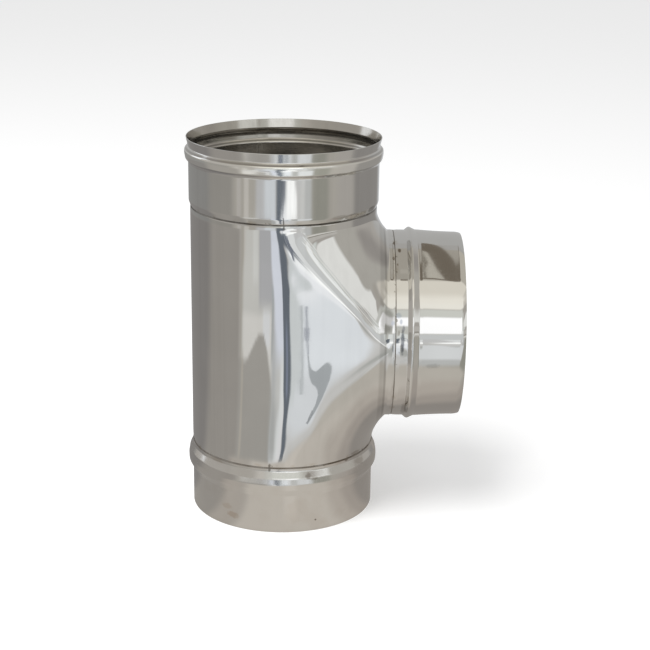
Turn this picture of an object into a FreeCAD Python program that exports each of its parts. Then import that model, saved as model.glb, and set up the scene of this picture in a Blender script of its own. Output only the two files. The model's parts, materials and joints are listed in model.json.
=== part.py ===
import FreeCAD, Part
import math
import os

# A stove pipe tee in sheet steel: a drawn tee body with three rings welded on, edge to edge.
# Millimetres. The main pipe's axis is Z, its bottom rim lies in z = 0, and the side outlet points along +X.

V = FreeCAD.Vector
origin = V(0, 0, 0)
up = V(0, 0, 1)

# The pipe that the tee joins
pipe_r = 75.0  # outside radius of a plain male end
sheet = 0.6  # thickness of every wall
slip = 0.5  # radial gap between a male end and the socket that takes it
socket_r = pipe_r + slip + sheet  # outside radius of a socket
neck_r = socket_r  # the outlet is drawn out to the socket's size

# Lengths along the main pipe, and the heights that they give
spigot_length = 56.5
body_length = 198.3
socket_depth = 54.6
lower_seam = spigot_length
upper_seam = lower_seam + body_length
lip_top = upper_seam + socket_depth
outlet_z = (lower_seam + upper_seam) / 2

# Reach of the side outlet, from the main axis out
neck_start = 84.5
neck_length = 4.1
branch_length = 55.0
outlet_seam = neck_start + neck_length
outlet_end = outlet_seam + branch_length

# The drawn outlet: how far its saddles leave the round body from the two seams, how far each end of a
# saddle's line holds its direction as a share of the run, and the steps that each quarter is drawn in
top_band = 6.3
bottom_band = 2.0
saddle_top = upper_seam - top_band
saddle_bottom = lower_seam + bottom_band
body_hold = 0.16
neck_hold = 0.2
saddle_steps = 5
line_steps = 3

# Stop beads on the male ends, in heights from the rim. A corner is where a bead's flanks would meet
# if its crest weren't rounded.
bead_low = 37.4
bead_peak = bead_low + 4.6
bead_high = bead_low + 8.0
bead_corner = 4.6
bead_bend = 2.2
plain_length = 24.0
rim_roll = 0.7

# The socket's curl at its seam, its seal groove down from the lip, and the lip's flare
curl = 3.5
groove_low = lip_top - 20.9
groove_peak = lip_top - 12.4
groove_high = lip_top - 7.0
groove_corner = 3.5
groove_bend = 3.0
lip_flare = 1.8


def bent_path(corners):
    """A wire through (radius, height, bend) corners. A bend rounds its corner by an arc of that radius."""
    points = [V(r, 0, z) for r, z, bend in corners]
    edges = []
    start = points[0]
    for before, corner, after, (r, z, bend) in zip(points, points[1:], points[2:], corners[1:]):
        if bend == 0:
            edges.append(Part.makeLine(start, corner))
            start = corner
            continue
        back = (before - corner).normalize()
        ahead = (after - corner).normalize()
        half = back.getAngle(ahead) / 2
        centre = corner + (back + ahead).normalize() * (bend / math.sin(half))
        first = corner + back * (bend / math.tan(half))
        last = corner + ahead * (bend / math.tan(half))
        middle = centre + (corner - centre).normalize() * bend
        edges.append(Part.makeLine(start, first))
        edges.append(Part.Arc(first, middle, last).toShape())
        start = last
    edges.append(Part.makeLine(start, points[-1]))
    return Part.Wire(edges)


def turned_sheet(corners):
    """The sheet ring whose outer skin is the bent path turned about Z, one sheet thick inwards."""
    section = bent_path(corners).makeOffset2D(sheet, 2, True, True, True)
    return section.revolve(origin, up, 360)


def stop_bead(root_r):
    """Corners of a male end's stop bead, whose crest is as wide whatever wall it rises from."""
    return [(root_r, bead_low, 0), (pipe_r + bead_corner, bead_peak, bead_bend), (root_r, bead_high, 0)]


def spigot_ring():
    """The lower male end: a plain cylinder under its stop bead."""
    return turned_sheet([(pipe_r, 0, 0), *stop_bead(pipe_r), (pipe_r, lower_seam, 0)])


def branch_spigot():
    """The side outlet's male end, tapered from the drawn neck's size down to the pipe's."""
    corners = [
        (pipe_r - rim_roll, 0, 0),
        (pipe_r, 6 * rim_roll, 0),
        (pipe_r, plain_length, 0),
        *stop_bead(neck_r),
        (neck_r, outlet_end - outlet_seam, 0),
    ]
    ring = turned_sheet(corners)
    ring.rotate(origin, V(0, 1, 0), -90)
    ring.translate(V(outlet_end, 0, outlet_z))
    return ring


def socket_ring():
    """The female end: curled in to the seam, with the seal groove and the flared lip."""
    corners = [
        (pipe_r, upper_seam, 0),
        (pipe_r, upper_seam + sheet, 0),
        (socket_r, upper_seam + curl, curl),
        (socket_r, groove_low, 0),
        (socket_r + groove_corner, groove_peak, groove_bend),
        (socket_r, groove_high, 0),
        (socket_r + lip_flare, lip_top, 0),
    ]
    return turned_sheet(corners)


def saddle_line(level, angle):
    """One line of a saddle from the round body to the neck, and the outward directions at its two ends."""
    side = math.copysign(1, level - outlet_z)
    from_body = V(math.sin(angle), -math.cos(angle), 0)
    from_neck = V(0, -math.cos(angle), side * math.sin(angle))
    start = from_body * pipe_r + V(0, 0, level)
    end = from_neck * pipe_r + V(neck_start, 0, outlet_z)
    run = end - start
    flare = from_neck * (neck_r - pipe_r)
    spread = flare * math.cos(angle) ** 2  # all of it at the flat panel, none of it on the ridge
    leave = run - from_body * run.dot(from_body) + spread
    arrive = run - from_neck * run.dot(from_neck) + spread
    end += flare
    line = Part.BezierCurve()
    line.setPoles([start, start + leave * body_hold, end - arrive * neck_hold, end])
    return line, from_body, from_neck


def saddle(level, depth):
    """The front half of a saddle as a smooth surface, sunk square to itself by that depth."""
    side = math.copysign(1, level - outlet_z)
    rows = []
    for step in range(saddle_steps + 1):
        angle = math.pi / 2 * step / saddle_steps
        line, from_body, from_neck = saddle_line(level, angle)
        before = saddle_line(level, angle - 0.001)[0]
        after = saddle_line(level, angle + 0.001)[0]
        row = [line.value(0) - from_body * depth]
        for place in range(1, line_steps):
            along = place / line_steps
            across = after.value(along) - before.value(along)
            inward = across.cross(line.tangent(along)[0]).normalize() * side
            if step == 0:
                inward = V(0, 1, 0)
            row.append(line.value(along) + inward * depth)
        row.append(line.value(1) - from_neck * depth)
        rows.append(row)
    surface = Part.BSplineSurface()
    surface.interpolate(rows)
    return surface


def front_panel(saddles):
    """The flat triangle between the front edges of both saddles and the round body."""
    upper, lower = [surface.uIso(0).toShape() for surface in saddles]
    upright = Part.makeLine(lower.Vertexes[0].Point, upper.Vertexes[0].Point)
    return Part.Face(Part.Wire([upright, upper, lower]))


def tee_body():
    """The drawn body: outer and inner skins one sheet apart, joined by the rims of its three ends."""
    outer, inner = [[saddle(level, depth) for level in (saddle_top, saddle_bottom)] for depth in (0, sheet)]
    faces = [front_panel(outer), front_panel(inner)]
    to_ends = [
        (up * (upper_seam - saddle_top), V(outlet_seam - neck_start, 0, 0)),
        (up * (lower_seam - saddle_bottom), V(outlet_seam - neck_start, 0, 0)),
    ]
    for outside, inside, reaches in zip(outer, inner, to_ends):
        faces += [outside.toShape(), inside.toShape()]
        for place, reach in zip((0, 1), reaches):
            hems = [surface.vIso(place).toShape() for surface in (outside, inside)]
            faces += [hem.extrude(reach) for hem in hems]
            faces.append(Part.makeRuledSurface(*[hem.translated(reach) for hem in hems]))
    heights = [lower_seam, saddle_bottom, saddle_top, upper_seam]
    wall = [V(0, -pipe_r, z) for z in heights] + [V(0, sheet - pipe_r, z) for z in reversed(heights)]
    faces += Part.makePolygon(wall + wall[:1]).revolve(origin, up, -90).Faces
    front = Part.makeCompound(faces)
    body = Part.makeCompound([front, front.mirror(origin, V(0, 1, 0))])
    body.sewShape()
    return Part.makeSolid(body.Shells[0])


os.makedirs("parts", exist_ok=True)
nodes = {
    "socket_ring": socket_ring(),
    "tee_body": tee_body(),
    "spigot_ring": spigot_ring(),
    "branch_spigot": branch_spigot(),
}
for name, shape in nodes.items():
    shape.exportStep("parts/" + name + ".step")
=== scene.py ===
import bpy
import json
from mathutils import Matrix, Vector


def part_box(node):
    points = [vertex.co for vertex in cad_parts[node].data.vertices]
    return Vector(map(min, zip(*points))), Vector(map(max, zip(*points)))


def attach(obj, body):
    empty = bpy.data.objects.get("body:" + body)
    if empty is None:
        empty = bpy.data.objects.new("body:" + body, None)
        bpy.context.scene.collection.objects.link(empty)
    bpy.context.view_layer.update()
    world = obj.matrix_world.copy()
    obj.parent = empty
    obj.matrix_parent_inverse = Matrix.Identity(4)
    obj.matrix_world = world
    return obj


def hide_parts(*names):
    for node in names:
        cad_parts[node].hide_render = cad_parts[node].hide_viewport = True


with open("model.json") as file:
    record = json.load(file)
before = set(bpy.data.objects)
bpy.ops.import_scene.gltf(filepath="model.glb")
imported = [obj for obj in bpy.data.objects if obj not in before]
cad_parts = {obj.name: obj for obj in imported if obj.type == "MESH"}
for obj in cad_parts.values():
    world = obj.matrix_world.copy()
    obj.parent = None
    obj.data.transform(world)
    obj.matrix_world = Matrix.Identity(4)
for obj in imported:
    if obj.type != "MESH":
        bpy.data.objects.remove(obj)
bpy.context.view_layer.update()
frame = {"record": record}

import json
import random
from math import acos, atan2, copysign, cos, degrees, exp, pi, radians, remainder, sin, tan

import bmesh
import bpy
import numpy as np
from mathutils import Matrix, Vector

MM = 0.001

# Camera: where the photograph was taken from in metres, with its heading, tilt and roll in radians
camera_place = (0.0228, -1.1854, 0.5283)
heading, tilt, roll = 0.0098, 0.3071, 0.0138
forward = Vector((sin(heading) * cos(tilt), cos(heading) * cos(tilt), -sin(tilt)))
level = Vector((cos(heading), -sin(heading), 0))
upright = level.cross(forward)
right = level * cos(roll) + upright * sin(roll)
up = upright * cos(roll) - level * sin(roll)
turn = Matrix((right, up, -forward)).transposed().to_4x4()
camera = bpy.data.objects.new("camera", bpy.data.cameras.new("camera"))
camera.data.sensor_width = 36
camera.data.lens = 83.63
camera.matrix_world = Matrix.Translation(camera_place) @ turn
bpy.context.collection.objects.link(camera)
bpy.context.scene.camera = camera
bpy.context.scene.view_settings.view_transform = "Standard"


def end_of(node, side, axis):
    """Where a solid ends, to a tenth of a millimetre. side is 0 at its low end and 1 at its high end."""
    return round(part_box(node)[side][axis] / MM, 1)


# Sizes of the sheet parts in millimetres, the same as the solids have
mounts = {mount["name"]: mount["dims"] for mount in frame["record"]["mounts"]}
sheet = 0.6  # thickness of every wall
pipe_r = mounts["bottom_spigot"]["r_mm"]  # outside radius of a male end and of the tube
socket_r = mounts["top_socket"]["r_mm"] + sheet  # outside radius of the socket and of the drawn neck
lower_seam = end_of("spigot_ring", 1, 2)
upper_seam = end_of("socket_ring", 0, 2)
outlet_seam = end_of("branch_spigot", 0, 0)
outlet_end = end_of("branch_spigot", 1, 0)
lip_top = upper_seam + 54.6
outlet_z = (lower_seam + upper_seam) / 2
branch_length = outlet_end - outlet_seam
neck_start = outlet_seam - 4.1
saddle_top = upper_seam - 6.3
saddle_bottom = lower_seam + 2.0
body_hold = 0.16  # share of its run that a saddle's line holds its direction for, at the tube
neck_hold = 0.2  # and at the neck

# The lengthwise welds, behind and to the left: in the socket and the lower male end, and in the body
weld_angle = radians(90 + 18.7)
body_weld = radians(150)

# How the meshes are divided, in millimetres unless a unit is given
arc_step = 9  # degrees of a bend between two points
ring_gap = 4.0  # the longest straight between two points of a section
support_gap = 0.35  # how close to a bend its supporting points lie, which keep it crisp
long_run = 1.6  # a shorter straight gets no supporting points
slight_turn = 0.02  # radians, a smaller turn gets none either
rim_soft = 0.12  # how much the edge of the sheet is rounded
ring_steps = 288  # points round a ring
angles = [k * 2 * pi / ring_steps for k in range(ring_steps)]
angles = sorted(angles + [weld_angle + k * 0.5 / pipe_r for k in range(-5, 6)])


def new_mesh(name, points, faces, inside):
    """A smooth-shaded object from points in millimetres. inside is 1 for each face of the inner skin."""
    sharpest = radians(35)
    mesh = bpy.data.meshes.new(name)
    mesh.from_pydata((np.asarray(points) * MM).tolist(), [], [list(map(int, face)) for face in faces])
    mesh.polygons.foreach_set("material_index", inside)
    mesh.shade_smooth()
    mesh.set_sharp_from_angle(angle=sharpest)
    piece = bpy.data.objects.new(name, mesh)
    bpy.context.collection.objects.link(piece)
    return piece


# The three rings
def rounded(corners):
    """Points along a run of (radius, height, bend) corners, each corner turned on an arc of its bend."""
    spots = [np.array(corner[:2], float) for corner in corners]
    path = [spots[0]]
    for before, spot, after, corner in zip(spots, spots[1:], spots[2:], corners[1:]):
        back, ahead = before - spot, after - spot
        back, ahead = back / np.linalg.norm(back), ahead / np.linalg.norm(ahead)
        half = acos(np.clip(back @ ahead, -1, 1)) / 2
        turn = pi - 2 * half
        bend = corner[2]
        if bend == 0 or turn < slight_turn / 2:
            path.append(spot)
            continue
        middle = (back + ahead) / np.linalg.norm(back + ahead)
        centre = spot + middle * bend / sin(half)
        first = spot + back * bend / tan(half) - centre
        side = copysign(1, first[1] * middle[0] - first[0] * middle[1])
        steps = max(2, round(degrees(turn) / arc_step))
        for k in range(steps + 1):
            a = side * turn * k / steps
            c, s = cos(a), sin(a)
            path.append(centre + np.array([c * first[0] - s * first[1], s * first[0] + c * first[1]]))
    path.append(spots[-1])
    return np.array(path)


def fill_in(path):
    """The same path with its straights divided, evenly and once more beside each bend."""
    turns = [pi]
    for a, b, c in zip(path, path[1:], path[2:]):
        change = atan2(*(c - b)) - atan2(*(b - a))
        turns.append(abs(remainder(change, 2 * pi)))
    turns.append(pi)
    out = [path[0]]
    for a, b, turn_a, turn_b in zip(path, path[1:], turns, turns[1:]):
        run = b - a
        length = np.linalg.norm(run)
        steps = int(length / ring_gap) + 1
        if length > long_run and turn_a > slight_turn:
            out.append(a + run * support_gap / length)
        out += [a + run * k / steps for k in range(1, steps)]
        if length > long_run and turn_b > slight_turn:
            out.append(b - run * support_gap / length)
        out.append(b)
    return np.array(out)


def skins(path):
    """A closed section: the outer path, round its end, back one sheet further in, and round its start."""
    run = np.gradient(path, axis=0)
    run /= np.linalg.norm(run, axis=1)[:, None]
    inward = np.stack([-run[:, 1], run[:, 0]], 1)
    outer = path.copy()
    outer[0] += run[0] * rim_soft
    outer[-1] -= run[-1] * rim_soft
    inner = outer + inward * sheet
    start, end = [[path[k] + inward[k] * depth for depth in (rim_soft, sheet - rim_soft)] for k in (0, -1)]
    return np.vstack([outer, end, inner[::-1], start[::-1]])


def turned(name, corners, around, wave):
    """A ring whose closed section is turned about its axis. around maps radius, height, angle to a place."""
    section = skins(fill_in(rounded(corners)))
    points = [around(r + wave(z, a), z, a) for a in angles for r, z in section]
    n, count = len(section), len(angles)
    steps = [(i * n, (i + 1) % count * n, k, (k + 1) % n) for i in range(count) for k in range(n)]
    faces = [(row + k, after + k, after + m, row + m) for row, after, k, m in steps]
    inside = [int(n // 2 <= k < n - 2) for row, after, k, m in steps]
    return new_mesh(name, points, faces, inside)


def main_axis(r, z, a):
    return (r * cos(a), r * sin(a), z)


def side_axis(r, z, a):
    return (outlet_end - z, r * cos(a), outlet_z + r * sin(a))


def angle_off(a, at):
    """How far one angle lies from another, the short way round."""
    return (a - at + pi) % (2 * pi) - pi


def rolled(seed, ridge=0.13):
    """The unevenness of a rolled ring: slightly out of round inwards, with a low weld ridge."""
    depth = 0.05
    ridge_width = 0.9
    draw = random.Random(seed)
    waves = []
    for n in (3, 5, 7, 11, 16, 23):
        start = draw.uniform(0, 6.28)
        lean = draw.uniform(-0.02, 0.02)
        waves.append((n, start, lean, depth * draw.uniform(0.5, 1) / n ** 0.7))

    def wave(z, a):
        out = sum(size * sin(n * a + start + lean * z) for n, start, lean, size in waves)
        off = angle_off(a, weld_angle) * pipe_r / ridge_width
        return min(0.0, out - 0.5 * depth) + ridge * exp(-off ** 2)
    return wave


def crumpled(seed):
    """As rolled, with a small creased dent in front, between the seam and the bead, and no weld ridge."""
    plain = rolled(seed, ridge=0)
    dent_angle, half_angle = 3.12, 0.13
    dent_z, half_width = 50.6, 2.6
    dent_depth, crease_depth = 0.18, 0.16

    def wave(z, a):
        off = angle_off(a, dent_angle)
        near = exp(-(off / half_angle) ** 2 - ((z - dent_z) / half_width) ** 2)
        crease = sin(21 * (off + 0.02) + 0.55 * (z - dent_z + 0.6))
        return plain(z, a) + near * (crease_depth * crease - dent_depth)
    return wave


def lower_spigot():
    """The lower male end, with its stop bead under the seam."""
    corners = [
        (pipe_r, 0, 0),
        (pipe_r, 32.0, 3.0),
        (pipe_r + 3.4, 38.0, 3.0),
        (pipe_r + 3.6, 42.5, 6.0),
        (pipe_r + 2.74, 47.6, 3.5),
        (pipe_r, 53.0, 2.5),
        (pipe_r, lower_seam - 0.9, 0.8),
        (pipe_r - 0.35, lower_seam, 0),
    ]
    return turned("lower_spigot", corners, main_axis, rolled(3))


def side_spigot():
    """The side outlet's male end: a rolled-in rim, a slow taper, and its stop bead beside the seam."""
    corners = [(pipe_r - 1.0, 0, 0)]
    corners += [(pipe_r - inset, z, 0) for z, inset in ((0.9, 0.72), (2.0, 0.44), (3.2, 0.24), (4.4, 0.13))]
    corners += [(pipe_r - 0.1 + 0.015 * z + 0.00117 * z ** 2, z + 6, 0) for z in range(0, 30, 2)]
    corners += [
        (socket_r + 0.25, 36.8, 2.0),
        (pipe_r + 3.9, 42.0, 2.0),
        (socket_r, 45.4, 1.0),
        (socket_r, branch_length - 3.5, 3.0),
        (socket_r - 0.3, branch_length, 0),
    ]
    return turned("side_spigot", corners, side_axis, crumpled(5))


def top_socket():
    """The female end: curled in to the seam, with the seal groove and the flared lip."""
    corners = [
        (pipe_r - 0.4, upper_seam, 0),
        (pipe_r, upper_seam + 0.8, 1.0),
        (socket_r, upper_seam + 4.0, 4.0),
        (socket_r, lip_top - 19.2, 2.2),
        (socket_r + 2.35, lip_top - 16.5, 2.6),
        (socket_r + 3.1, lip_top - 12.2, 9.0),
        (socket_r + 2.85, lip_top - 9.7, 1.8),
        (socket_r, lip_top - 7.2, 0.9),
        (socket_r + 1.8, lip_top, 0),
    ]
    return turned("top_socket", corners, main_axis, rolled(1))


# The drawn body
def saddle_point(level, angle, t):
    """A point t along one line of a saddle, which runs from the tube at that level to the neck."""
    side = copysign(1, level - outlet_z)
    from_body = np.array([sin(angle), -cos(angle), 0])
    from_neck = np.array([0, -cos(angle), side * sin(angle)])
    start = from_body * pipe_r + np.array([0, 0, level])
    end = from_neck * pipe_r + np.array([neck_start, 0, outlet_z])
    run = end - start
    flare = from_neck * (socket_r - pipe_r)
    spread = flare * cos(angle) ** 2
    leave = run - from_body * (run @ from_body) + spread
    arrive = run - from_neck * (run @ from_neck) + spread
    end = end + flare
    poles = (start, start + leave * body_hold, end - arrive * neck_hold, end)
    u = 1 - t
    return u ** 3 * poles[0] + 3 * u * u * t * poles[1] + 3 * u * t * t * poles[2] + t ** 3 * poles[3]


def pulled(points, direction, reaches):
    """A grid of the points moved along a direction by each of the reaches."""
    return np.array([[point + np.array(direction) * reach for reach in reaches] for point in points])


def body_patches():
    """Grids of the outer skin's front half, whose borders share their points."""
    across, along, rows, end_rows = 48, 40, 60, 6
    patches = []
    fronts = []
    for level, seam in ((saddle_top, upper_seam), (saddle_bottom, lower_seam)):
        turns = [pi / 2 * i / across for i in range(across + 1)]
        grid = np.array([[saddle_point(level, a, j / along) for j in range(along + 1)] for a in turns])
        patches.append(grid)
        patches.append(pulled(grid[:, 0], (0, 0, 1), np.linspace(0, seam - level, end_rows + 1)))
        patches.append(pulled(grid[:, -1], (1, 0, 0), np.linspace(0, outlet_seam - neck_start, 4)))
        fronts.append(grid[0])
    upper, lower = fronts
    patches.append(np.array([lower * (1 - i / rows) + upper * i / rows for i in range(rows + 1)]))
    heights = np.concatenate([
        np.linspace(lower_seam, saddle_bottom, end_rows + 1)[:-1],
        np.linspace(saddle_bottom, saddle_top, rows + 1),
        np.linspace(saddle_top, upper_seam, end_rows + 1)[1:],
    ])
    quarter = np.linspace(0, pi / 2, ring_steps // 4 + 1)
    tube = [[(-pipe_r * sin(a), -pipe_r * cos(a), z) for z in heights] for a in quarter]
    patches.append(np.array(tube))
    return patches


def merge(patches):
    """Points and faces from the grids and their mirror images in Y, with shared borders joined."""
    index = {}
    points = []
    faces = []

    def number(x, y, z):
        key = tuple(np.round((x, y, z), 3) + 0.0)
        if key not in index:
            index[key] = len(points)
            points.append(np.array([x, y, z]))
        return index[key]

    for grid in patches:
        for side in (1, -1):
            ids = [[number(x, y * side if abs(y) > 1e-6 else 0.0, z) for x, y, z in row] for row in grid]
            for row, above in zip(ids, ids[1:]):
                for a, b, c, d in zip(row, above, above[1:], row[1:]):
                    corners = list(dict.fromkeys((a, b, c, d)))
                    if len(corners) > 2:
                        faces.append(corners)
    return np.array(points), faces


def ease(x, low, high):
    t = np.clip((x - low) / (high - low), 0, 1)
    return t * t * (3 - 2 * t)


def blur(points, edges, pinned, passes):
    """Points pulled towards their neighbours, the nearer ones more, with the pinned ones held."""
    pull = 0.6
    a, b = edges.T
    count = len(points)
    weight = 1 / np.maximum(np.linalg.norm(points[a] - points[b], axis=1), 0.4)
    total = np.bincount(a, weight, count) + np.bincount(b, weight, count)
    out = points.copy()
    for _ in range(passes):
        sums = [np.bincount(a, weight * v[b], count) + np.bincount(b, weight * v[a], count) for v in out.T]
        moved = out + pull * (np.stack(sums, 1) / total[:, None] - out)
        moved[pinned] = points[pinned]
        out = moved
    return out


def soften(outer, edges, from_seams):
    """The skin with soft edges round the flat panels, softer still low down and beside the neck."""
    x, z = outer[:, 0], outer[:, 2]
    passes = 45
    low_down = ease(x, 22, 44) * ease(158 - z, 0, 10)
    beside_neck = ease(x, 58, 76)
    pinned = (from_seams < 0.5) | (x > neck_start - 0.01) | (x < -30)
    once = blur(outer, edges, pinned, passes)
    twice = blur(once, edges, pinned, passes)
    round_skin = blur(twice, edges, pinned, 2 * passes)
    crisp_skin = 2 * once - twice
    round_share = np.maximum(low_down, beside_neck)
    soft_skin = crisp_skin + (round_skin - crisp_skin) * round_share[:, None]
    share = ease(x, -26, -8) * ease(neck_start - x, 0.3, 4) * ease(from_seams, 0.5, 9)
    return outer + (soft_skin - outer) * share[:, None]


def ripples(x, z, run, height, pitch, centre, spread):
    """Low waves along a run, which die away round a centre."""
    near = np.exp(-((x - centre[0]) / spread[0]) ** 2 - ((z - centre[1]) / spread[1]) ** 2)
    return height * np.sin(run / pitch) * near


def panel_press(x, z, across):
    """How far the flat panels stand out from the drawn shape. across is below 0 for the front one."""
    first, last = -13, 8  # where along X the bulge beside the tube starts and ends
    depth, slope, slope_loss = -1.135, 0.176, 0.171
    flat_height, flat_slope, drawn_slope = 0.766, 0.00437, 0.013
    along = np.clip(x, first, last) - first
    bulge = depth + slope * along - slope_loss * along ** 2 / (2 * (last - first))
    pressed = np.where(x < last, bulge, flat_height + flat_slope * (x - last))
    tube = np.sqrt(np.maximum(pipe_r ** 2 - np.minimum(x, 0) ** 2, 0)) - pipe_r
    drawn = np.where(x < 0, tube, drawn_slope * x)
    proud = (pressed - drawn) * (x > first)
    fade = ease(z, lower_seam + 3, lower_seam + 62) * ease(upper_seam - z, 3, 62)
    front = ripples(x, z, x - 18, 0.10, 9.5, (26, 126), (20, 34))
    rear = ripples(x, z, x + 0.3 * z, 0.12, 12, (34, 170), (26, 40))
    return proud * fade + np.where(across < 0, front, rear)


def press_panels(outer):
    """Stand the two flat panels out, and nothing round."""
    x, y, z = outer.T
    facing = ease(abs(y) / np.maximum(np.hypot(y, np.minimum(x, 0)), 1), 0.9, 0.97)
    width = ease(abs(y), 62, 73.5)
    outer[:, 1] += np.sign(y) * panel_press(x, z, y) * facing * width


def roll_edges(outer, from_seams, at_neck):
    """Roll the sheet's edges in at the three seams, and raise a low ridge along the lengthwise weld."""
    seam_roll, roll_width, neck_roll = 0.4, 4.2, 0.3
    ridge, ridge_width = 0.14, 1.2
    main = (from_seams < roll_width) & (outer[:, 0] < neck_start)
    inwards = seam_roll * np.clip(1 - from_seams / roll_width, 0, 1) ** 2
    outer[main, :2] *= (1 - inwards / np.hypot(outer[:, 0], outer[:, 1]))[main, None]
    axis = np.array([0, outlet_z])
    across = outer[at_neck, 1:] - axis
    outer[at_neck, 1:] = axis + across * (1 - neck_roll / np.hypot(*across.T))[:, None]
    off = (np.arctan2(outer[:, 1], outer[:, 0]) - body_weld) * pipe_r
    outer[:, :2] *= (1 + ridge / pipe_r * np.exp(-(off / ridge_width) ** 2))[:, None]


def drawn_skin():
    """The outer skin as the solid has it, with its faces turned outwards."""
    points, faces = merge(body_patches())
    mesh = bpy.data.meshes.new("skin")
    mesh.from_pydata(points.tolist(), [], faces)
    skin = bmesh.new()
    skin.from_mesh(mesh)
    bpy.data.meshes.remove(mesh)
    bmesh.ops.recalc_face_normals(skin, faces=skin.faces)
    skin.normal_update()
    rearmost = min(skin.faces, key=lambda face: face.calc_center_median().x)
    if rearmost.normal.x > 0:
        bmesh.ops.reverse_faces(skin, faces=skin.faces)
    skin.verts.index_update()
    return skin


def skin_normals(skin, outer, at_seams, at_neck):
    """Outward directions at the skin's points. Along the rims they are square to that opening's axis."""
    for vertex, place in zip(skin.verts, outer):
        vertex.co = place
    skin.normal_update()
    normals = np.array([vertex.normal[:] for vertex in skin.verts])
    normals[at_seams] = outer[at_seams] * (1, 1, 0)
    normals[at_neck] = (outer[at_neck] - (0, 0, outlet_z)) * (0, 1, 1)
    return normals / np.linalg.norm(normals, axis=1)[:, None]


def tee_body():
    """The drawn body: an outer skin, an inner one a sheet inside it, and the rims that join them."""
    skin = drawn_skin()
    outer = np.array([vertex.co[:] for vertex in skin.verts])
    edges = np.array([[vertex.index for vertex in edge.verts] for edge in skin.edges])
    from_seams = np.minimum(upper_seam - outer[:, 2], outer[:, 2] - lower_seam)
    at_neck = outer[:, 0] > outlet_seam - 0.01
    outer = soften(outer, edges, from_seams)
    press_panels(outer)
    roll_edges(outer, from_seams, at_neck)
    inner = outer - skin_normals(skin, outer, from_seams < 0.001, at_neck) * sheet
    count = len(outer)
    quads = [[vertex.index for vertex in face.verts] for face in skin.faces]
    faces = quads + [[v + count for v in reversed(quad)] for quad in quads]
    for edge in skin.edges:
        if edge.is_boundary:
            loop = edge.link_loops[0]
            a, b = loop.vert.index, loop.link_loop_next.vert.index
            faces.append([b, a, a + count, b + count])
    skin.free()
    inside = [int(len(quads) <= k < 2 * len(quads)) for k in range(len(faces))]
    return new_mesh("drawn_body", np.vstack([outer, inner]), faces, inside)


# Materials
polish = (0.74, 0.73, 0.71)  # the colour of polished stainless steel


def tree_of(owner):
    """The nodes of a material or world, and the call that links them."""
    owner.use_nodes = True
    return owner.node_tree.nodes, owner.node_tree.links.new


def put(node, values):
    """Set a node's inputs by name or number."""
    for name, value in values.items():
        node.inputs[name].default_value = value


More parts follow.
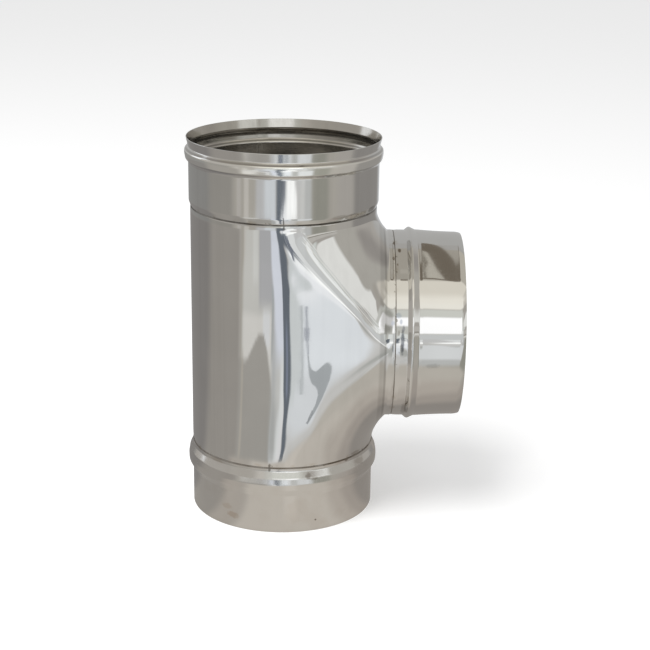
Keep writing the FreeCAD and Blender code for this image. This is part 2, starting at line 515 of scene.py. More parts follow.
class Steel:
    """A stainless sheet material, built up from noise, marks, painted shade and painted highlights over the
    object's own coordinates.
    """

    def __init__(self, name, base, rough):
        self.mat = bpy.data.materials.new(name)
        self.nodes, self.link = tree_of(self.mat)
        self.bsdf = self.nodes["Principled BSDF"]
        put(self.bsdf, {"Metallic": 1})
        self.place = self.nodes.new("ShaderNodeTexCoord").outputs["Object"]
        split = self.nodes.new("ShaderNodeSeparateXYZ")
        self.link(self.place, split.inputs[0])
        self.x, self.y, self.z = split.outputs
        cloud = self.noise(28, 3)
        self.colour = self.mix(self.ramp(cloud, 0.35, 0.7), [c * 0.965 for c in base], base)
        grain = self.noise(900, 2, (1, 1, 0.06))
        self.rough = self.ramp(grain, 0.3, 0.75, rough * 0.8, rough * 1.3)
        self.creases = []

    def noise(self, scale, detail, stretch=(1, 1, 1)):
        at = self.nodes.new("ShaderNodeMapping")
        put(at, {"Scale": stretch})
        self.link(self.place, at.inputs["Vector"])
        noise = self.nodes.new("ShaderNodeTexNoise")
        put(noise, {"Scale": scale, "Detail": detail})
        self.link(at.outputs[0], noise.inputs["Vector"])
        return noise.outputs["Fac"]

    def ramp(self, value, low, high, to_low=0.0, to_high=1.0):
        ramp = self.nodes.new("ShaderNodeMapRange")
        ramp.interpolation_type = "SMOOTHSTEP"
        self.link(value, ramp.inputs["Value"])
        put(ramp, {"From Min": low, "From Max": high, "To Min": to_low, "To Max": to_high})
        return ramp.outputs["Result"]

    def math(self, kind, *values):
        """A math node over numbers and other nodes' outputs."""
        node = self.nodes.new("ShaderNodeMath")
        node.operation = kind
        for socket, value in zip(node.inputs, values):
            if isinstance(value, (int, float)):
                socket.default_value = value
            else:
                self.link(value, socket)
        return node.outputs[0]

    def times(self, a, b):
        return self.math("MULTIPLY", a, b)

    def mix(self, weight, a, b):
        node = self.nodes.new("ShaderNodeMix")
        node.data_type = "RGBA"
        self.link(weight, node.inputs["Factor"])
        for index, colour in ((6, a), (7, b)):
            if isinstance(colour, (list, tuple)):
                node.inputs[index].default_value = (*colour, 1)
            else:
                self.link(colour, node.inputs[index])
        return node.outputs[2]

    def near(self, coordinate, at, half, soft, unit=MM):
        """1 within half of a level on a coordinate, falling to 0 over soft. A unit of 1 is for radians."""
        gap = self.math("ABSOLUTE", self.math("SUBTRACT", coordinate, at * unit))
        return self.ramp(gap, half * unit, (half + soft) * unit, 1.0, 0.0)

    def paint(self, weight, share, colour, rough=None):
        """Lay a colour over that share of a weight, and make the steel at least as rough there."""
        weight = self.times(weight, share)
        self.colour = self.mix(weight, self.colour, colour)
        if rough is not None:
            self.rough = self.math("MAXIMUM", self.rough, self.times(weight, rough))

    def seam(self, coordinate, at, line, burn, lean=0.0, half=0.4):
        """A fine weld line with a broken heat tint along it. It may lie a little to one side of the edge."""
        soot = (0.16, 0.13, 0.10)
        patch = self.ramp(self.noise(110, 2), 0.5, 0.72)
        self.paint(self.times(self.near(coordinate, at, 0.6, 2.8), patch), 0.55, burn, 0.16)
        speck = self.ramp(self.noise(330, 1), 0.66, 0.74)
        self.paint(self.times(self.near(coordinate, at, 1.0, 1.2), speck), 0.5, soot, 0.4)
        uneven = self.ramp(self.noise(45, 2), 0.3, 0.65, 0.55, 1.0)
        self.paint(self.near(coordinate, at + lean, half, 0.5), uneven, line, 0.45)

    def spot(self, place, size, colour, weight, rough=0.2, rag=0.9):
        """A patch of colour with a ragged edge about a place, that size each way, in millimetres. Some are
        marks on the sheet, others painted shade and reflection.
        """
        at = self.nodes.new("ShaderNodeMapping")
        shift = [-middle / width for middle, width in zip(place, size)]
        put(at, {"Scale": [1 / (width * MM) for width in size], "Location": shift})
        self.link(self.place, at.inputs["Vector"])
        far = self.nodes.new("ShaderNodeVectorMath")
        far.operation = "LENGTH"
        self.link(at.outputs[0], far.inputs[0])
        ragged = self.math("ADD", far.outputs["Value"], self.times(self.noise(420, 2), rag))
        self.paint(self.ramp(ragged, 0.95, 1.6, 1.0, 0.0), weight, colour, rough)

    def spots(self, *rows):
        for row in rows:
            self.spot(*row)

    def drawn_grain(self, depth):
        """Faint streaks that run up the sheet, as it was rolled."""
        self.paint(self.ramp(self.noise(150, 3, (1, 1, 0.025)), 0.42, 0.72), depth, (0.52, 0.51, 0.49))

    def bearing(self):
        return self.math("ARCTAN2", self.y, self.x)

    def lengthwise(self, angle):
        """The polished-over weld along a rolled sheet, at an angle about Z."""
        self.paint(self.near(self.bearing(), angle, 0.022, 0.03, 1), 0.3, (0.56, 0.52, 0.46), 0.14)
        self.paint(self.near(self.bearing(), angle, 0.003, 0.006, 1), 0.8, (0.34, 0.31, 0.27), 0.3)

    def inner_weld(self, angle):
        """The same weld from inside, under the seal groove, with the sheet a little paler on its left."""
        groove_foot = lip_top - 19.9
        under = self.ramp(self.z, (groove_foot - 1) * MM, groove_foot * MM, 1.0, 0.0)
        pale = self.near(self.bearing(), angle + 0.115, 0.1, 0.03, 1)
        self.paint(self.times(pale, under), 0.6, (0.74, 0.72, 0.68))
        line = self.near(self.bearing(), angle, 0.004, 0.01, 1)
        self.paint(self.times(line, under), 0.6, (0.84, 0.82, 0.78), 0.3)

    def crease(self, level, height):
        """A low fold in the front's sheet beside the flat panel's upper edge, sloped as that edge is."""
        slope_x, slope_z = 0.775, 0.631
        across = self.math("ADD", self.times(self.x, slope_x), self.times(self.z, slope_z))
        fold = self.times(self.near(across, level, 0.5, 0.5), self.near(self.x, 45, 26, 6))
        in_front = self.ramp(self.y, -50 * MM, -40 * MM, 1.0, 0.0)
        self.creases.append(self.times(self.times(fold, in_front), height))

    def finish(self, wave=0.012):
        """The finished material, with the sheet's faint waves that many millimetres high."""
        fine = self.noise(700, 2, (1, 1, 0.05))
        height = self.math("ADD", self.noise(55, 2), self.times(fine, 0.02))
        for crease in self.creases:
            height = self.math("ADD", height, crease)
        bump = self.nodes.new("ShaderNodeBump")
        put(bump, {"Strength": 1, "Distance": wave * MM})
        self.link(height, bump.inputs["Height"])
        self.link(bump.outputs[0], self.bsdf.inputs["Normal"])
        self.link(self.colour, self.bsdf.inputs["Base Color"])
        self.link(self.rough, self.bsdf.inputs["Roughness"])
        return self.mat


# The three seams, as they show on the sheets at both their sides
def upper_weld(steel):
    steel.seam(steel.z, upper_seam, line=(0.07, 0.06, 0.05), burn=(0.50, 0.44, 0.35), lean=-0.5)


def lower_weld(steel):
    steel.seam(steel.z, lower_seam, line=(0.17, 0.14, 0.11), burn=(0.50, 0.43, 0.34), lean=-0.6)


def neck_weld(steel):
    steel.seam(steel.x, outlet_seam, line=(0.20, 0.17, 0.14), burn=(0.48, 0.42, 0.33), half=0.12)


# Each spot has its place, size, colour and weight, and where they aren't the usual its roughness and rag
def socket_steel():
    steel = Steel("socket_steel", polish, 0.07)
    upper_weld(steel)
    steel.lengthwise(weld_angle)
    steel.drawn_grain(0.16)
    steel.spots(
        ((1.3, -75, 257.4), (0.7, 4, 3.6), (0.16, 0.15, 0.14), 0.8),
        ((54, -53, 257.2), (7.5, 7.5, 1.9), (0.36, 0.33, 0.30), 0.7, 0.2, 0.35),
        ((70, -30, 257.6), (4.5, 8, 2.0), (0.26, 0.24, 0.22), 0.8, 0.2, 0.35),
        ((44, -61, 258.2), (7.5, 6, 1.5), (0.42, 0.39, 0.35), 0.5, 0.2, 0.35),
    )
    # duller from the bead up, with a painted highlight along the bead's crest and a line of painted shade
    # along each of its feet
    bead_foot = lip_top - 19.9
    duller = steel.ramp(steel.z, bead_foot * MM, (bead_foot + 1.5) * MM, 0, 0.12)
    steel.rough = steel.math("MAXIMUM", steel.rough, duller)
    # painted highlight along the bead's crest
    steel.paint(steel.near(steel.z, lip_top - 12.9, 3.4, 0.8), 0.7, (0.93, 0.92, 0.88))
    # painted shade in the creases at the bead's upper and lower feet
    steel.paint(steel.near(steel.z, lip_top - 8.8, 0.35, 0.6), 0.6, (0.30, 0.28, 0.26), 0.2)
    steel.paint(steel.near(steel.z, lip_top - 17.1, 0.4, 0.6), 0.45, (0.30, 0.28, 0.26), 0.2)
    return steel.finish()


def body_steel():
    steel = Steel("body_steel", polish, 0.028)
    upper_weld(steel)
    lower_weld(steel)
    neck_weld(steel)
    steel.lengthwise(body_weld)
    steel.drawn_grain(0.13)
    steel.crease(165.4, 8.0)
    steel.crease(168.0, 6.0)
    steel.spots(
        ((1.6, -75, 252.4), (0.8, 4, 3.0), (0.16, 0.15, 0.14), 0.8),
        ((-8.9, -74.5, 57.8), (1.2, 4, 2.4), (0.20, 0.18, 0.16), 0.8),
        ((88.2, -22.5, 228), (1.2, 3, 1.6), (0.20, 0.16, 0.12), 0.9),
        ((87.2, -40, 220.6), (1.2, 2.4, 2.4), (0.24, 0.20, 0.16), 0.8),
        ((60, -45, 58), (7, 7, 1.8), (0.40, 0.36, 0.31), 0.6),
        # the next three are painted reflection: a dark streak at the front of the neck, and a grey patch
        # with a bluish centre that dims the bright reflection above it
        ((86.6, -75.5, 158), (0.9, 4, 4.5), (0.25, 0.26, 0.28), 0.6, 0.08),
        ((82, -72, 179), (4.5, 6, 9), (0.34, 0.33, 0.31), 0.85, 0.1, 0.35),
        ((86.2, -72.8, 177.5), (1.8, 3, 2.6), (0.40, 0.42, 0.46), 0.6),
    )
    # painted shade on the saddle beside the neck's edge: a soft dark band that dims the reflection there,
    # and a thin darker line at the junction
    steel.paint(steel.near(steel.x, 79.0, 1.4, 2.2), 0.4, (0.40, 0.39, 0.37), 0.1)
    steel.paint(steel.near(steel.x, 81.0, 0.3, 1.0), 0.45, (0.30, 0.29, 0.27), 0.12)
    return steel.finish()


def branch_steel():
    steel = Steel("branch_steel", polish, 0.045)
    neck_weld(steel)
    steel.spots(
        ((92.1, -31.7, 224.8), (1.6, 3, 2.6), (0.20, 0.16, 0.12), 0.9),
        ((90.2, -44, 216.5), (1.0, 2, 1.4), (0.24, 0.18, 0.12), 0.8),
        ((97.6, -50, 97), (2.2, 16, 16), (0.36, 0.33, 0.30), 0.6),
        # painted dark reflection on the front of the outlet's neck, beside the seam
        ((93.9, -76, 163), (1.7, 5, 11), (0.13, 0.14, 0.16), 0.8, 0.08),
        ((118, -74.5, 143.4), (5.8, 5, 2.4), (0.52, 0.52, 0.51), 0.6, 0.06),
        # the next four are painted reflection: blue-grey and brownish blotches on the outlet's neck above it
        ((90.6, -71, 183), (2.4, 3, 2.6), (0.44, 0.48, 0.54), 0.6, 0.12),
        ((92.6, -72.5, 178.6), (1.3, 3, 2.2), (0.30, 0.33, 0.38), 0.6, 0.12),
        ((94.6, -73.8, 173.5), (1.2, 3, 3.0), (0.28, 0.28, 0.31), 0.7, 0.12),
        ((91.0, -74.6, 170), (0.9, 3, 2.6), (0.40, 0.37, 0.33), 0.6, 0.12),
    )
    return steel.finish()


def spigot_steel():
    steel = Steel("spigot_steel", (0.74, 0.725, 0.70), 0.14)
    lower_weld(steel)
    steel.lengthwise(weld_angle)
    low = steel.ramp(steel.z, 28 * MM, 36 * MM, 1.0, 0.0)
    steel.paint(steel.times(steel.ramp(steel.noise(38, 3), 0.58, 0.72), low), 0.16, (0.56, 0.49, 0.42), 0.25)
    steel.paint(steel.ramp(steel.noise(55, 3), 0.45, 0.7), 0.22, (0.60, 0.57, 0.53), 0.2)
    steel.spots(
        ((-39, -64, 10.5), (6, 6, 3.2), (0.52, 0.43, 0.34), 0.5),
        ((-44, -61, 17), (5, 5, 3), (0.55, 0.48, 0.40), 0.35),
        ((28.2, -69.6, 9.3), (0.9, 2, 0.9), (0.22, 0.19, 0.16), 0.9),
        ((22.2, -75, 49.4), (2.6, 4, 3.4), (0.36, 0.33, 0.30), 0.8),
        ((27, -74, 47), (3.4, 4, 1.6), (0.42, 0.39, 0.35), 0.6),
        ((-8.9, -75, 54.8), (1.2, 4, 2.2), (0.20, 0.18, 0.16), 0.8),
        ((52.9, -53.6, 55.4), (2.2, 2.2, 2.0), (0.24, 0.21, 0.18), 0.8),
        ((-52, -54, 54), (9, 9, 1.4), (0.50, 0.44, 0.37), 0.5),
        ((62, -42, 50), (8, 8, 3.5), (0.44, 0.41, 0.37), 0.6),
    )
    return steel.finish(0.02)


def inner_steel():
    """The inner skin of all four pieces: darker than the outer steel as painted shade, streaked, with the
    socket's weld, and painted shade below, in and along the seal groove.
    """
    # a darker, slightly less metallic copy of the steel: painted shade for the inside
    steel = Steel("inner_steel", (0.58, 0.56, 0.52), 0.14)
    put(steel.bsdf, {"Metallic": 0.94})
    # painted shade on the socket's inner wall below the seal groove
    steel.paint(steel.near(steel.z, lip_top - 37.9, 17, 1), 0.5, (0.34, 0.32, 0.28))
    steel.paint(steel.ramp(steel.noise(90, 3, (1, 1, 0.12)), 0.45, 0.7), 0.3, (0.44, 0.42, 0.39), 0.2)
    # painted shade inside the seal groove
    steel.paint(steel.near(steel.z, lip_top - 12.6, 3.4, 0.8), 0.5, (0.24, 0.23, 0.21))
    steel.inner_weld(weld_angle)
    # a thin line of painted shade along the groove's lower flank
    steel.paint(steel.near(steel.z, lip_top - 17.9, 0.35, 0.5), 0.75, (0.20, 0.19, 0.17), 0.3)
    return steel.finish(0.02)


spigot, branch, socket, body = lower_spigot(), side_spigot(), top_socket(), tee_body()
socket_mat, body_mat, branch_mat, spigot_mat = socket_steel(), body_steel(), branch_steel(), spigot_steel()
inner_mat = inner_steel()

for piece, node, slot, mat in (
    (socket, "socket_ring", "polished_steel", socket_mat),
    (body, "tee_body", "polished_steel", body_mat),
    (branch, "branch_spigot", "polished_steel", branch_mat),
    (spigot, "spigot_ring", "satin_steel", spigot_mat),
):
    piece.data.materials.append(mat)
    piece.data.materials.append(inner_mat)
    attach(piece, "root")
    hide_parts(node)


# The room that polished steel mirrors: a floor card and a dome card that only glossy rays meet
dome_r = 3.0  # metres
card_lift = 0.0005
ribbon_lift = 0.0012


def seen(*colour):
    """The light a card gives off for polished steel to show this colour, of three levels up to 255."""
    levels = [v / 255 for v in colour]
    light = [v / 12.92 if v <= 0.04045 else ((v + 0.055) / 1.055) ** 2.4 for v in levels]
    return np.array(light) / np.array(polish)


def span(x, low, high, soft):
    """1 between low and high, 0 outside, with soft edges."""
    rise = np.clip((x - low) / soft + 0.5, 0, 1)
    fall = np.clip((high - x) / soft + 0.5, 0, 1)
    return rise * rise * (3 - 2 * rise) * fall * fall * (3 - 2 * fall)


class Shade:
    """The colours of a card's points, built up from soft-edged fields that are laid over each other."""

    def __init__(self, reach, bearing, colour):
        self.reach, self.bearing = reach, bearing
        self.colours = np.tile(seen(*colour), (len(reach), 1))

    def lay(self, colour, bearing=None, reach=None, weight=1.0, glare=1.0):
        """Lay a field. Its bearing and its reach each give where it starts and ends and how soft it is."""
        if bearing is not None:
            weight = weight * span(self.bearing, *bearing)
        if reach is not None:
            weight = weight * span(self.reach, *reach)
        self.colours += (seen(*colour) * glare - self.colours) * weight[:, None]


def far_fields(lay):
    """The floor all round, and what stands far off in front, from left to right."""
    lay((130, 129, 126), (-200, -97, 14))
    lay((132, 129, 125), (90, 200, 12))
    lay((175, 175, 175), (155, 200, 18), (0.3, 9, 0.3))
    lay((162, 158, 150), (-60, 88, 10))
    lay((172, 168, 162), (-55, -50, 2))
    lay((182, 178, 171), (-46, -40, 2))
    lay((180, 180, 180), (-31, -8, 5))
    lay((198, 202, 205), (-21, -8, 5))
    lay((178, 179, 177), (0, 34, 3))
    lay((193, 193, 190), (19, 25, 4))
    lay((141, 140, 131), (34, 54, 8))
    lay((159, 155, 149), (66, 90, 14))
    lay((208, 209, 208), (2.5, 26, 2), (1.45, 9, 0.15))
    lay((190, 191, 189), (2.5, 26, 2), (2.5, 9, 0.4))


def left_fields(lay, r, a):
    """Pale boards on the left, a blue-white sheet beside them, and the grey boards' rounded end."""
    near_left = (-47 + 3 * ease(r, 0.8, 1.0), -12, 5)
    lay((187, 186, 181), near_left, (0.3, 1.1, 0.08))
    lay((197, 197, 193), (-34, -28, 4), (0.8, 1.1, 0.08))
    lay((165, 165, 166), (-27, -12, 3), (0.7, 1.1, 0.08))
    lay((200, 198, 193), near_left, (0.3, 0.66, 0.04))
    lay((204, 205, 205), (-22, -16, 2), (0.54, 0.68, 0.06))
    lay((204, 208, 216), (-14, -5, 2), (0.42, 1.1, 0.2))
    lay((160, 164, 165), (-15, -13.8, 0.8), (0.5, 0.8, 0.06))
    arch = 0.49 + 0.10 * ease(a, -44, -24) - 0.08 * ease(a, -22, -15.5)
    lay((153, 150, 144), (-200, -13.5 - 4.3 * ease(r, 0.36, 0.56), 2.2), (0, arch, 0.022))
    lay((165, 160, 151), (-48, -45.5, 1.5), (0.2, 0.5, 0.1))
    lay((144, 140, 134), (-200, -51, 6), (0, 1.1, 0.1))
    lay((124, 121, 118), (-200, -97, 16), (0, 1.1, 0.1))
    lay((190, 190, 187), (-13, -5, 4), (0.2, 0.5, 0.12))
    lay((210, 212, 211), (-9.8, -5, 2.5), (0.2, 0.5, 0.12))
    lay((212, 212, 212), (-7, 0, 2), (0.2, 0.34, 0.05))


def panel_fields(lay, r):
    """The pale sheet that the flat panel mirrors, and the bright and grey fields beyond it."""
    lay((192, 191, 188), (-3.5, 18, 5), (0.2, 1.4, 0.12))
    lay((206, 209, 211), (-2.5, 8, 4), (0.27, 1.4, 0.08))
    lay((216, 220, 223), (-2.0, 8.8 - 1.2 * ease(r, 0.5, 0.38), 1.6), (0.46, 1.3, 0.1))
    grey_edge = 0.8 - 0.95 * ease(r, 0.62, 0.86) - 1.4 * ease(r, 0.82, 0.92)
    lay((229, 231, 233), (grey_edge, 8, 0.6), (0.72, 1.2, 0.12))
    lay((238, 240, 240), (grey_edge, 5, 1.5), (0.98, 1.5, 0.14))
    lay((198, 202, 202), (-3, grey_edge, 0.2 + 1.5 * ease(r, 0.77, 0.86)), (0.36, 1.06, 0.08))
    lay((166, 167, 163), (10.3, 18, 1.6), (0.4, 0.85, 0.12))
    lay((206, 208, 208), (16.8, 34, 2.5), (0.38, 0.95, 0.05))
    lay((213, 215, 214), (1.2, 12.6, 2), (1.25, 2.6, 0.12))
    lay((252, 253, 251), (4.4, 15.8 - 1.4 * ease(r, 1.3, 1.36), 2.6), (1.12, 1.52, 0.1))
    lay((189, 189, 188), (12.8, 22, 2), (1.38, 2.8, 0.1))


def dark_strip(lay, r):
    """A dark strip that runs straight to the tee, blue along its middle, with a grey field on its left."""
    grey_end = -8.8 - 3.4 * ease(r, 0.24, 0.42) - 1.6 * ease(r, 0.5, 0.7)
    lay((164, 165, 163), (-14.5, grey_end, 4 - 1.6 * ease(r, 0.5, 0.62)), (0.22, 0.72, 0.06))
    left = -4.0 - 0.8 * ease(r, 0.22, 0.3) - 1.3 * ease(r, 0.32, 0.42)
    left = left - 2.5 * ease(r, 0.45, 0.8) + 1.1 * ease(r, 0.86, 1.08)
    right = -1.2 - 0.9 * ease(r, 0.22, 0.26) + 1.9 * ease(r, 0.27, 0.42) - 1.6 * ease(r, 0.44, 0.72)
    right = right - 1.9 * ease(r, 0.8, 1.0) + 6.2 * ease(r, 1.08, 1.3)
    lay((100, 106, 113), (left, right, 1.1 + 2.2 * ease(r, 1.05, 1.25)), (0.2, 9, 0.03))
    lay((124, 131, 147), (left + 2.6, right - 2.0, 1.4), (0.36, 0.62, 0.12))


def close_fields(lay):
    """Warm boards close to the tee, darker to the right, and the shade under it."""
    lay((176, 171, 162), (16, 55, 9), (0, 0.30, 0.06))
    lay((182, 176, 167), (-34, 90, 14), (0, 0.2, 0.06))
    lay((190, 184, 175), (3, 13, 5), (0.1, 0.2, 0.04))
    lay((163, 157, 149), (-56, -34, 12), (0, 0.2, 0.05))
    lay((169, 162, 153), (44, 200, 14), (0, 0.22, 0.05))
    lay((154, 147, 139), (60, 200, 12), (0, 0.38, 0.05))
    lay((135, 130, 124), (76, 200, 14), (0, 0.32, 0.05))
    lay((112, 104, 94), None, (0, 0.073, 0.01))


def floor_shade(r, a):
    """Colour of the floor card by distance in metres and bearing in degrees from the front, to the right."""
    shade = Shade(r, a, (139, 136, 130))
    far_fields(shade.lay)
    left_fields(shade.lay, r, a)
    panel_fields(shade.lay, r)
    dark_strip(shade.lay, r)
    close_fields(shade.lay)
    return shade.colours


def walls(lay, a):
    """The walls all round, with a cream wall over the window and a lighter panel to its right."""
    lay((164, 161, 154), (58, 96, 8))
    lay((141, 137, 132), (98, 124, 18), (14, 50, 14))
    lay((164, 163, 160), (136, 200, 14))
    lay((164, 163, 160), (-200, -136, 14))
    lay((164, 160, 153), (-64, -32, 8), (4, 50, 6))
    lay((184, 180, 173), (-32, -20, 6), (4, 50, 6))
    lay((186, 186, 180), (-20, 30, 5), (0, 34, 3))
    lay((158, 154, 146), (24, 66, 8), (30, 34, 3))
    lay((190, 185, 175), (-30, 66, 8), (36, 72, 4))
    lay((228, 225, 215), (-30, 32, 6), (35, 47, 3))
    lay((217, 217, 213), (27.5, 60, 2), (12.6, np.minimum(19 + 0.5 * (a - 28), 27), 1.4))


def window(lay):
    """The window, its sill and the streaks beside it."""
    lay((197, 198, 191), (-12, 24, 3), (26.5, 34, 2))
    lay((255, 255, 255), (-11, 20.5, 2), (15.5, 25.5, 3), glare=1.02)
    lay((255, 255, 255), (6.2, 20.5, 1), (6.5, 18, 2), glare=1.02)
    lay((193, 195, 194), (8, 27, 2), (-2, 5.5, 1))
    lay((214, 217, 214), (-2, 8.5, 2), (-2, 5.5, 1))
    lay((230, 232, 230), (16, 26, 3), (6.2, 9.4, 0.9))
    lay((194, 197, 193), (20, 36, 2), (10.3, 12.2, 0.8))
    lay((176, 173, 167), (28, 66, 3), (-2, 9, 1.2))
    lay((206, 205, 199), (28, 66, 3), (1.2, 2.6, 0.7))
    lay((128, 124, 116), (28, 66, 3), (3.2, 4.2, 0.7))


def ceiling(lay, e, a):
    """The ceiling: bands that run from side to side, and a dark joint that crosses them aslant."""
    reach = 1 / np.tan(np.radians(np.clip(e, 5, 89.99)))
    side, back = reach * np.sin(np.radians(a)), -reach * np.cos(np.radians(a))
    over = span(e, 52, 95, 3)
    boards = over * span(back, -0.34, 0.52, 0.02)
    lay((210, 205, 193), weight=span(e, 48, 95, 2) * span(back, -1.2, -0.36, 0.03))
    lay((227, 223, 212), weight=span(e, 42, 60, 6) * span(back, -1.2, -0.78, 0.3))
    lay((156, 151, 141), weight=boards)
    lay((174, 169, 158), weight=boards * span(side, 0.19, 0.9, 0.015))
    lay((164, 159, 149), weight=over * span(back, -0.2, -0.1, 0.05) * span(side, 0.05, 0.12, 0.03))
    lay((160, 158, 154), weight=over * span(back, 0.52, 9, 0.04))
    joint = -0.3 - 1.25 * np.clip(0.225 - side, 0, 0.045)
    along_joint = span(back, joint - 0.017, joint + 0.017, 0.012) * span(side, 0.02, 0.26, 0.02)
    lay((112, 104, 93), weight=over * along_joint)


def dome_shade(e, a):
    """Colour of the dome card by height above the horizon and bearing, both in degrees."""
    shade = Shade(e, a, (160, 156, 150))
    walls(shade.lay, a)
    window(shade.lay)
    ceiling(shade.lay, e, a)
    # the left wall has a window too
    shade.lay((236, 238, 240), (-130, -108, 4), (8, 42, 2))
    return shade.colours


def glow(name):
    """A material that gives off the colour at each point."""
    mat = bpy.data.materials.new(name)
    nodes, link = tree_of(mat)
    nodes.clear()
    tint = nodes.new("ShaderNodeVertexColor")
    tint.layer_name = "shade"
    light = nodes.new("ShaderNodeEmission")
    out = nodes.new("ShaderNodeOutputMaterial")
    link(tint.outputs["Color"], light.inputs["Color"])
    link(light.outputs[0], out.inputs["Surface"])
    mat.cycles.emission_sampling = "NONE"
    return mat


def card(name, points, faces, colours):
    """A mesh with a colour at each point, given off as light that only mirrors see."""
    mesh = bpy.data.meshes.new(name)
    mesh.from_pydata(points, [], faces)
    tints = np.ones((len(points), 4), np.float32)
    tints[:, :3] = colours
    mesh.color_attributes.new("shade", "FLOAT_COLOR", "POINT").data.foreach_set("color", tints.ravel())
    mesh.materials.append(glow(name))
    piece = bpy.data.objects.new(name, mesh)
    bpy.context.collection.objects.link(piece)
    piece.visible_camera = False
    piece.visible_diffuse = False
    piece.visible_shadow = False
    piece.visible_transmission = False
    piece.visible_volume_scatter = False


def polar_card(name, levels, bearings, place, shade):
    """A grid round the tee, whose colours come from a shade of level and bearing."""
    n = len(bearings)
    points = [place(v, radians(b)) for v in levels for b in bearings]
    faces = [
        (i * n + k, i * n + (k + 1) % n, (i + 1) * n + (k + 1) % n, (i + 1) * n + k)
        for i in range(len(levels) - 1) for k in range(n)
    ]
    card(name, points, faces, shade(np.repeat(levels, n), np.tile(bearings, len(levels))))


def on_floor(r, b, lift=card_lift):
    return (r * sin(b), -r * cos(b), lift)


def on_dome(e, b):
    e = radians(e)
    across, height = dome_r * cos(e), dome_r * sin(e)
    return (across * sin(b), -across * cos(b), height)


def over_floor(b, r):
    """A place just over the floor card, by bearing in degrees and distance in metres."""
    return on_floor(r, radians(b), ribbon_lift)


def overhead(side, back):
    """A place just under the dome, by how far it lies aside and behind for each metre of height."""
    return Vector((side, back, 1)).normalized() * (0.99 * dome_r)


def smooth_run(spots, steps=8):
    """Points along a soft curve through pairs of coordinates."""
    spots = np.array(spots, float)
    held = np.vstack([2 * spots[0] - spots[1], spots, 2 * spots[-1] - spots[-2]])
    run = []
    for a, b, c, d in zip(held, held[1:], held[2:], held[3:]):
        square, cube = 2 * a - 5 * b + 4 * c - d, 3 * b - a - 3 * c + d
        for t in np.arange(steps) / steps:
            run.append(0.5 * (2 * b + (c - a) * t + square * t ** 2 + cube * t ** 3))
    return np.array(run + [spots[-1]])


def ribbon(name, left, right, colour, rim, soft, place=over_floor):
    """A flat shape on a card between two runs, with a rim that fades into what lies about it."""
    left, right = smooth_run(left), smooth_run(right)
    rows = [left + (right - left) * share for share in (-soft, 0, 0.5, 1, 1 + soft)]
    tints = [seen(*tint) for tint in (rim, colour, colour, colour, rim)]
    n = len(left)
    points = [place(*spot) for row in rows for spot in row]
    starts = [i * n + k for i in range(len(rows) - 1) for k in range(n - 1)]
    faces = [(k, k + 1, n + k + 1, n + k) for k in starts]
    card(name, points, faces, np.repeat(tints, n, axis=0))


def line(name, run, before, after, *looks):
    """A ribbon along a run, which reaches that far to either side of it in the run's first coordinate."""
    ribbon(name, [(a - before, r) for a, r in run], [(a + after, r) for a, r in run], *looks)


def panel_shapes():
    """A grey leaf in the panel, its dark foot, a thin line that runs into it and a bent line beside it."""
    ribbon(
        "grey_leaf",
        [
            (1.22, 0.523), (1.29, 0.490), (1.38, 0.471), (1.69, 0.446), (2.21, 0.430), (2.97, 0.423),
            (3.93, 0.409), (4.50, 0.395), (4.73, 0.387), (4.93, 0.364), (4.75, 0.356), (4.19, 0.348),
            (2.86, 0.329), (2.28, 0.304),
        ],
        [
            (1.34, 0.524), (1.49, 0.495), (1.84, 0.476), (2.66, 0.471), (3.65, 0.485), (4.60, 0.498),
            (5.50, 0.482), (6.15, 0.442), (6.88, 0.401), (7.46, 0.365), (7.04, 0.345), (5.97, 0.330),
            (4.10, 0.315), (3.25, 0.296),
        ],
        (160, 164, 166), (208, 211, 213), 0.06,
    )
    ribbon(
        "leaf_foot",
        [(3.9, 0.344), (2.8, 0.327), (2.28, 0.304)],
        [(5.0, 0.332), (4.0, 0.315), (3.25, 0.296)],
        (128, 131, 134), (170, 172, 172), 0.3,
    )
    thin = [(0.95, 0.700), (1.08, 0.668), (1.22, 0.615), (1.25, 0.568), (1.28, 0.523)]
    line("thin_line", thin, 0.05, 0.05, (160, 164, 170), (210, 214, 217), 0.8)
    ribbon(
        "thin_line_end",
        [(1.08, 0.618), (1.10, 0.57)],
        [(1.32, 0.618), (1.33, 0.57)],
        (140, 143, 154), (170, 174, 180), 0.4,
    )
    bent = [(0.60, 0.705), (0.74, 0.640), (0.80, 0.573), (0.80, 0.504), (0.9, 0.441), (1.14, 0.395)]
    line("bent_line", bent, 0.04, 0.04, (172, 176, 177), (204, 208, 210), 0.8)
    ribbon(
        "bent_line_end",
        [(3.2, 1.533), (1.5, 1.407), (0.2, 1.238), (-0.98, 1.064), (-1.2, 1.03)],
        [(4.8, 1.533), (2.6, 1.407), (0.9, 1.238), (-0.64, 1.064), (-1.1, 1.03)],
        (112, 117, 126), (190, 194, 197), 0.3,
    )


def ceiling_shapes():
    """A bent beam under the ceiling, and the thin edge of the boards beside it."""
    ribbon(
        "beam",
        [
            (0.168, -0.345), (0.161, -0.1), (0.166, 0.14), (0.178, 0.35), (0.197, 0.57), (0.217, 0.74),
            (0.237, 0.83),
        ],
        [
            (0.2005, -0.33), (0.199, -0.1), (0.2, 0.1), (0.204, 0.25), (0.209, 0.36), (0.217, 0.45),
            (0.237, 0.52),
        ],
        (106, 98, 87), (160, 155, 145), 0.07, overhead,
    )
    edge = [(0.226, 0.63), (0.219, 0.4), (0.2145, 0.2), (0.215, 0.06), (0.228, -0.107), (0.243, -0.3)]
    line("board_edge", edge, 0, 0.005, (110, 104, 93), (170, 165, 154), 0.4, overhead)


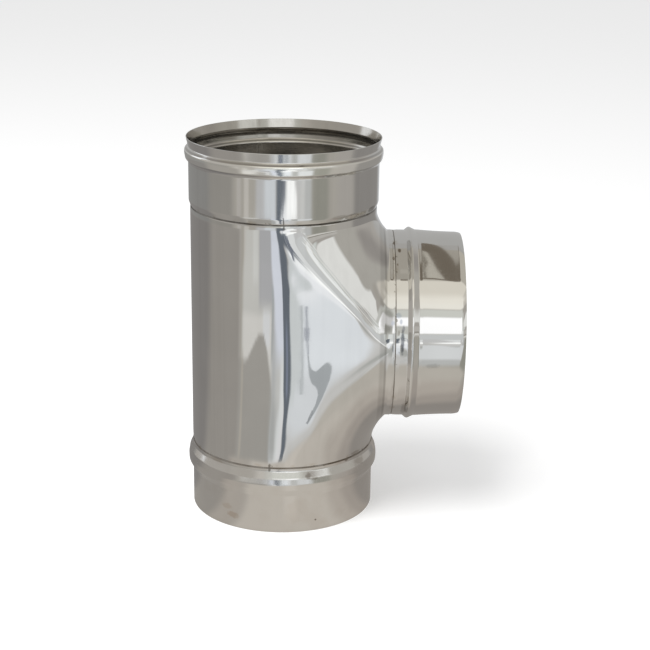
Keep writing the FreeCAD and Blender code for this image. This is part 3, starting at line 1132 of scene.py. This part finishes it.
# The cards are divided finely where the flat panel mirrors them, and coarsely behind the tee
bearings = np.concatenate([
    np.arange(-180, -20, 1.0),
    np.arange(-20, -2, 0.15),
    np.arange(-2, 2.5, 0.06),
    np.arange(2.5, 20, 0.15),
    np.arange(20, 180, 1.0),
])
heights = np.concatenate([np.arange(0, 14, 0.25), np.arange(14, 58, 0.6), np.arange(58, 89.9, 0.3), [89.95]])
polar_card("floor_card", np.geomspace(0.02, dome_r, 150), bearings, on_floor, floor_shade)
polar_card("dome_card", heights, bearings[::2], on_dome, dome_shade)
panel_shapes()
ceiling_shapes()


# Floor, lamp and world
def white_floor():
    """A white floor that takes the soft shadow, lifted a little for the camera and unseen in the steel."""
    bpy.ops.mesh.primitive_circle_add(vertices=96, radius=12, fill_type="NGON")
    floor = bpy.context.object
    floor.name = "floor"
    mat = bpy.data.materials.new("floor")
    nodes, link = tree_of(mat)
    paper = nodes["Principled BSDF"]
    put(paper, {"Base Color": (0.9, 0.9, 0.9, 1), "Roughness": 0.9, "Specular IOR Level": 0})
    put(paper, {"Emission Color": (1, 1, 1, 1)})
    lift = nodes.new("ShaderNodeMath")
    lift.operation = "MULTIPLY"
    put(lift, {1: 0.3})
    link(nodes.new("ShaderNodeLightPath").outputs["Is Camera Ray"], lift.inputs[0])
    link(lift.outputs[0], paper.inputs["Emission Strength"])
    floor.data.materials.append(mat)
    floor.visible_glossy = False


def soft_lamp():
    """A broad lamp above the front left, aimed at the tee."""
    lamp = bpy.data.objects.new("lamp", bpy.data.lights.new("lamp", "AREA"))
    lamp.data.shape = "DISK"
    lamp.data.size = 1.6
    lamp.data.energy = 42
    lamp.location = (-0.8, -0.9, 2.2)
    aim = Vector((0, 0, 0.1)) - lamp.location
    lamp.rotation_euler = aim.to_track_quat("-Z", "Y").to_euler()
    lamp.visible_glossy = False
    bpy.context.collection.objects.link(lamp)


def white_world():
    """A white world, which lights the floor at about half its brightness."""
    world = bpy.data.worlds.new("world")
    bpy.context.scene.world = world
    nodes, link = tree_of(world)
    back = nodes["Background"]
    put(back, {"Color": (1, 1, 1, 1)})
    path = nodes.new("ShaderNodeLightPath")
    bright = path.outputs["Is Camera Ray"]
    for ray in ("Is Glossy Ray", "Is Transmission Ray"):
        either = nodes.new("ShaderNodeMath")
        either.operation = "MAXIMUM"
        link(bright, either.inputs[0])
        link(path.outputs[ray], either.inputs[1])
        bright = either.outputs[0]
    strength = nodes.new("ShaderNodeMapRange")
    put(strength, {"To Min": 0.55, "To Max": 1.0})
    link(bright, strength.inputs["Value"])
    link(strength.outputs["Result"], back.inputs["Strength"])


white_floor()
soft_lamp()
white_world()
